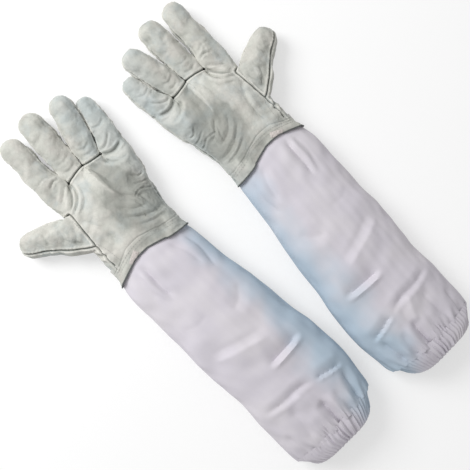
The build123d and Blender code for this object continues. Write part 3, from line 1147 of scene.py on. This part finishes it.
def canvas_group():
    """Tightly woven smooth cloth: crossed threads, slight slubs, a soft change of tone and a painted bluish shade on
    the pair's inner sides.
    """
    tree, given, result = group(
        "tight_canvas",
        [("Base", "NodeSocketColor", (0.6, 0.6, 0.6, 1)), ("Cool", "NodeSocketColor", (0.5, 0.5, 0.6, 1)),
         ("Warm", "NodeSocketColor", (0.6, 0.6, 0.6, 1)), ("Cool Side", "NodeSocketFloat", 0.0)],
        [("Color", "NodeSocketColor"), ("Roughness", "NodeSocketFloat"), ("Height", "NodeSocketFloat")])
    place = tree.nodes.new("ShaderNodeTexCoord").outputs["Object"]
    warm = spread(tree, noise_node(tree, place, 20, 3), 0.40, 0.65)
    color = mix_colors(tree, warm, given.outputs["Base"], given.outputs["Warm"])
    # Painted inner shade: here the Cool colour is only the bluish shade painted on the inner sides of the pair.
    color = mix_colors(tree, math_node(tree, "MULTIPLY", given.outputs["Cool Side"], 0.9), color,
                       given.outputs["Cool"])
    threads = []
    for axis, stretch in ((0, (1, 0.05, 1)), (1, (0.05, 1, 0.05))):
        mapping = tree.nodes.new("ShaderNodeMapping")
        mapping.inputs["Scale"].default_value = stretch
        tree.links.new(place, mapping.inputs["Vector"])
        threads.append(noise_node(tree, mapping.outputs["Vector"], 1500, 2))
    height = math_node(tree, "ADD", threads[0], threads[1])
    tree.links.new(color, result.inputs["Color"])
    tree.links.new(spread(tree, height, 0.7, 1.3, 0.72, 0.86), result.inputs["Roughness"])
    tree.links.new(height, result.inputs["Height"])
    return tree


def finish_material(name, effect, painted_inner_shade_effect, values, bump, bump_distance):
    """Material that takes its colour, roughness and bump from a shared effect."""
    material = bpy.data.materials.new(name)
    material.use_nodes = True
    tree = material.node_tree
    shader = tree.nodes["Principled BSDF"]
    look = tree.nodes.new("ShaderNodeGroup")
    look.node_tree = effect
    for label, value in values.items():
        look.inputs[label].default_value = value
    # Painted bluish shade of the inner sides, fed into the finish.
    side = tree.nodes.new("ShaderNodeGroup")
    side.node_tree = painted_inner_shade_effect
    tree.links.new(side.outputs["Share"], look.inputs["Cool Side"])
    # Stored painted highlight and painted shade of the leather.
    if "Wear" in look.inputs:
        wear = tree.nodes.new("ShaderNodeAttribute")
        wear.attribute_name = "wear"
        tree.links.new(wear.outputs["Fac"], look.inputs["Wear"])
    tree.links.new(look.outputs["Color"], shader.inputs["Base Color"])
    tree.links.new(look.outputs["Roughness"], shader.inputs["Roughness"])
    node = tree.nodes.new("ShaderNodeBump")
    node.inputs["Strength"].default_value = bump
    node.inputs["Distance"].default_value = bump_distance
    tree.links.new(look.outputs["Height"], node.inputs["Height"])
    tree.links.new(node.outputs["Normal"], shader.inputs["Normal"])
    shader.inputs["Specular IOR Level"].default_value = 0.3
    return material


def plain_material(name, color, roughness):
    material = bpy.data.materials.new(name)
    material.use_nodes = True
    shader = material.node_tree.nodes["Principled BSDF"]
    shader.inputs["Base Color"].default_value = color
    shader.inputs["Roughness"].default_value = roughness
    return material


PAINTED_INNER_SHADE = painted_inner_shade_group()
LEATHER_LOOK = leather_group()
CANVAS_LOOK = canvas_group()
# The Painted Highlight and Painted Shade colours stand in for light on raised seam edges and folds and for shade in
# seams and hollows.
LEATHER = finish_material(
    "pale_leather", LEATHER_LOOK, PAINTED_INNER_SHADE,
    {"Base": (0.520, 0.525, 0.480, 1), "Warm": (0.560, 0.530, 0.490, 1), "Cool": (0.430, 0.490, 0.500, 1),
     "Rubbed": (0.690, 0.680, 0.630, 1), "Grime": (0.190, 0.200, 0.180, 1), "Mottle": 0.55}, 0.55, 0.0006)
TRIM = finish_material(
    "pink_grey_leather", LEATHER_LOOK, PAINTED_INNER_SHADE,
    {"Base": (0.620, 0.570, 0.540, 1), "Warm": (0.640, 0.590, 0.560, 1), "Cool": (0.560, 0.560, 0.550, 1),
     "Mottle": 0.4}, 0.5, 0.0005)
# The canvas's Cool colour is the painted bluish shade of the inner sides.
CANVAS = finish_material(
    "lilac_white_canvas", CANVAS_LOOK, PAINTED_INNER_SHADE,
    {"Base": (0.640, 0.610, 0.665, 1), "Warm": (0.670, 0.640, 0.680, 1), "Cool": (0.430, 0.540, 0.640, 1)},
    0.25, 0.0003)
THREAD = plain_material("sewing_thread", (0.42, 0.42, 0.40, 1), 0.8)
ELASTIC = plain_material("woven_elastic", (0.62, 0.61, 0.58, 1), 0.8)
SEAM = plain_material("dark_seam", (0.11, 0.12, 0.115, 1), 0.85)


# ---------------------------------------------------------------- building both gloves

sleeve = sleeve_skin()
casing = casing_skin()
hem_band = elastic_band(-275, 11, 3.0)
wrist_band = elastic_band(22, 9, 2.2)
sources = [sleeve, casing, hem_band, wrist_band]
for side in ("left", "right"):
    hand = leather_hand(side)
    tree = tree_of(hand)
    trims = {"seam_tab": tab_patch(tree), "stitches": stitch_piece(tree), "cuff_seam": rim_cord(hand)}
    hand_pieces = split_pieces(hand)
    sources += [*hand_pieces.values(), *trims.values()]
    for name, source in hand_pieces.items():
        piece = finish_piece(source, side, name, LEATHER, 0.9)
        attach(piece, side, name)
        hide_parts(f"{side}_{name}")
    tab = finish_piece(trims["seam_tab"], side, "seam_tab", TRIM, 0.8)
    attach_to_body(tab, f"{side}_hand")
    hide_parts(f"{side}_seam_tab")
    for name, material, slot_name in (("stitches", THREAD, "leather_trim"), ("cuff_seam", SEAM, "leather_trim")):
        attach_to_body(finish_piece(trims[name], side, name, material, 0), f"{side}_hand")
    forward = direction(side, (0, 1, 0))
    canvas = finish_piece(sleeve, side, "sleeve_panel", CANVAS, 0.8)
    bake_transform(canvas)
    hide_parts(f"{side}_sleeve_panel")
    hem = finish_piece(casing, side, "hem_casing", CANVAS, 0)
    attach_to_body(hem, f"{side}_sleeve")
    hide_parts(f"{side}_hem_casing")
    for name, source, body in (("hem_elastic", hem_band, "sleeve"), ("wrist_elastic", wrist_band, "hand")):
        band = finish_piece(source, side, name, ELASTIC, 0.9)
        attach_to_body(band, f"{side}_{body}")
        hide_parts(f"{side}_{name}")
for source in sources:
    bpy.data.objects.remove(source)

# ---------------------------------------------------------------- camera, floor and light

scene = bpy.context.scene
scene.view_settings.view_transform = "Standard"

LENS = 50.0
CAMERA_DISTANCE = 0.748
CAMERA_ROLL = math.radians(133.92)
LOOK_AT = (-4.43 * MM, -41.75 * MM + 41.53 * MM)
TILT_X, TILT_Y = math.radians(-1.93), math.radians(4.21)


def add_camera():
    camera = bpy.data.objects.new("camera", bpy.data.cameras.new("camera"))
    bpy.context.collection.objects.link(camera)
    camera.data.lens = LENS
    camera.data.clip_end = 20
    roll = Matrix.Rotation(CAMERA_ROLL - math.pi / 2, 3, "Z")
    tilt = Matrix.Rotation(TILT_Y, 3, "Y") @ Matrix.Rotation(TILT_X, 3, "X")
    view = tilt @ roll                     # takes the row's axes to the camera's
    back = view.inverted()
    eye = Vector((LOOK_AT[0], LOOK_AT[1], 0)) + back @ Vector((0, 0, CAMERA_DISTANCE))
    camera.matrix_world = Matrix.Translation(eye) @ back.to_4x4()
    scene.camera = camera
    return camera


def add_floor():
    bpy.ops.mesh.primitive_plane_add(size=8, location=(0, 0, 0))
    floor = bpy.context.active_object
    floor.name = "floor"
    material = bpy.data.materials.new("white_floor")
    material.use_nodes = True
    nodes, links = material.node_tree.nodes, material.node_tree.links
    shader = nodes["Principled BSDF"]
    seen = nodes.new("ShaderNodeLightPath").outputs["Is Camera Ray"]
    tint = nodes.new("ShaderNodeMix")
    tint.data_type = "RGBA"
    tint.inputs[6].default_value = (0.92, 0.92, 0.92, 1)
    tint.inputs[7].default_value = (0.50, 0.50, 0.50, 1)
    links.new(seen, tint.inputs[0])
    links.new(tint.outputs[2], shader.inputs["Base Color"])
    glow = nodes.new("ShaderNodeMix")
    glow.data_type = "RGBA"
    glow.inputs[6].default_value = (0, 0, 0, 1)
    glow.inputs[7].default_value = (0.5, 0.5, 0.5, 1)
    links.new(seen, glow.inputs[0])
    links.new(glow.outputs[2], shader.inputs["Emission Color"])
    shader.inputs["Emission Strength"].default_value = 1.0
    shader.inputs["Roughness"].default_value = 0.9
    floor.data.materials.append(material)


def add_light(name, place, size, power):
    data = bpy.data.lights.new(name, "AREA")
    data.shape = "SQUARE"
    data.size = size
    data.energy = power
    lamp = bpy.data.objects.new(name, data)
    bpy.context.collection.objects.link(lamp)
    lamp.location = place
    lamp.rotation_euler = (Vector((0, 0, 0)) - Vector(place)).to_track_quat("-Z", "Y").to_euler()
    return lamp


add_camera()
add_floor()
world = bpy.data.worlds.new("soft")
scene.world = world
world.use_nodes = True
world.node_tree.nodes["Background"].inputs["Color"].default_value = (1, 1, 1, 1)
world.node_tree.nodes["Background"].inputs["Strength"].default_value = 0.5
add_light("key", (-0.45, 1.15, 1.0), 0.8, 20)
